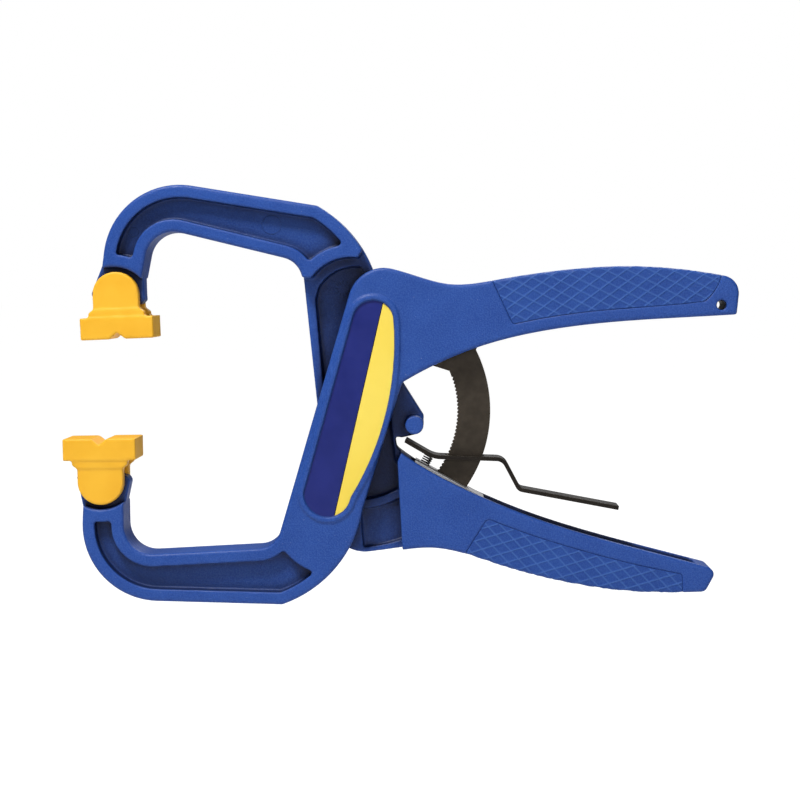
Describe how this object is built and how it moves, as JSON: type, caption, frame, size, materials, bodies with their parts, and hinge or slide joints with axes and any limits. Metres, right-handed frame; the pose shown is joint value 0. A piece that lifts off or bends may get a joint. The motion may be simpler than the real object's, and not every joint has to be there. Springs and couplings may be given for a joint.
{
  "type": "spring clamp",
  "caption": "One-hand pliers-type clamp: crossing C-jaw arms, swivel pads, toothed locking arc and release lever.",
  "frame": {"origin": "on the pivot axis, in the plane of the flat back (the rear label's rim)", "axes": "+X from the pivot towards the handles, +Y from front to back along the pivot axis, +Z across the handles"},
  "size_m": [0.3368, 0.024, 0.2102],
  "materials": {
    "arm_nylon": "glass-filled nylon, lightly grained, mid blue",
    "grip_plastic": "overmoulded grip, same blue, satin",
    "pad_plastic": "soft-satin yellow-orange plastic",
    "bar_steel": "black-oxide steel, worn brown edges",
    "lever_steel": "black-oxide spring steel, oiled",
    "bright_steel": "plain bright steel",
    "spring_steel": "dark oiled spring wire",
    "label_film": "printed film, navy with a plain yellow leaf shape, no text"
  },
  "bodies": {
    "rear_frame": {"rear_arm": "arm_nylon", "rear_grip": "grip_plastic", "bar_guide_plate": "bright_steel", "rear_label": "label_film", "pivot_rivet": "bright_steel", "pivot_washers": "bright_steel", "pivot_retainer": "spring_steel", "opening_spring": "spring_steel", "lever_spring": "spring_steel"},
    "front_frame": {"front_arm": "arm_nylon", "front_grip": "grip_plastic", "ratchet_bar": "bar_steel", "bar_pins": "bright_steel", "front_label": "label_film"},
    "upper_pad": {"upper_jaw_pad": "pad_plastic"},
    "lower_pad": {"lower_jaw_pad": "pad_plastic"},
    "lever": {"release_lever": "lever_steel"}
  },
  "joints": [
    {"name": "arm_pivot", "type": "hinge", "parent": "rear_frame", "child": "front_frame", "pos_m": [0, -0.012, 0], "axis": [0, 1, 0], "range_deg": [-21, 22], "deforming": ["opening_spring"]},
    {"name": "upper_pad_swivel", "type": "hinge", "parent": "rear_frame", "child": "upper_pad", "pos_m": [-0.11872, -0.012, 0.0581], "axis": [0, 1, 0], "range_deg": [-25, 25]},
    {"name": "lower_pad_swivel", "type": "hinge", "parent": "front_frame", "child": "lower_pad", "pos_m": [-0.12726, -0.012, -0.03571], "axis": [0, 1, 0], "range_deg": [-25, 25]},
    {"name": "lever_release", "type": "hinge", "parent": "rear_frame", "child": "lever", "pos_m": [0.0263, -0.012, -0.0136], "axis": [0, 1, 0], "range_deg": [0, 8], "deforming": ["lever_spring"]}
  ],
  "couplings": [
    {"joint": "upper_pad_swivel", "follows": "arm_pivot", "ratio": 0.5},
    {"joint": "lower_pad_swivel", "follows": "arm_pivot", "ratio": -0.5}
  ]
}
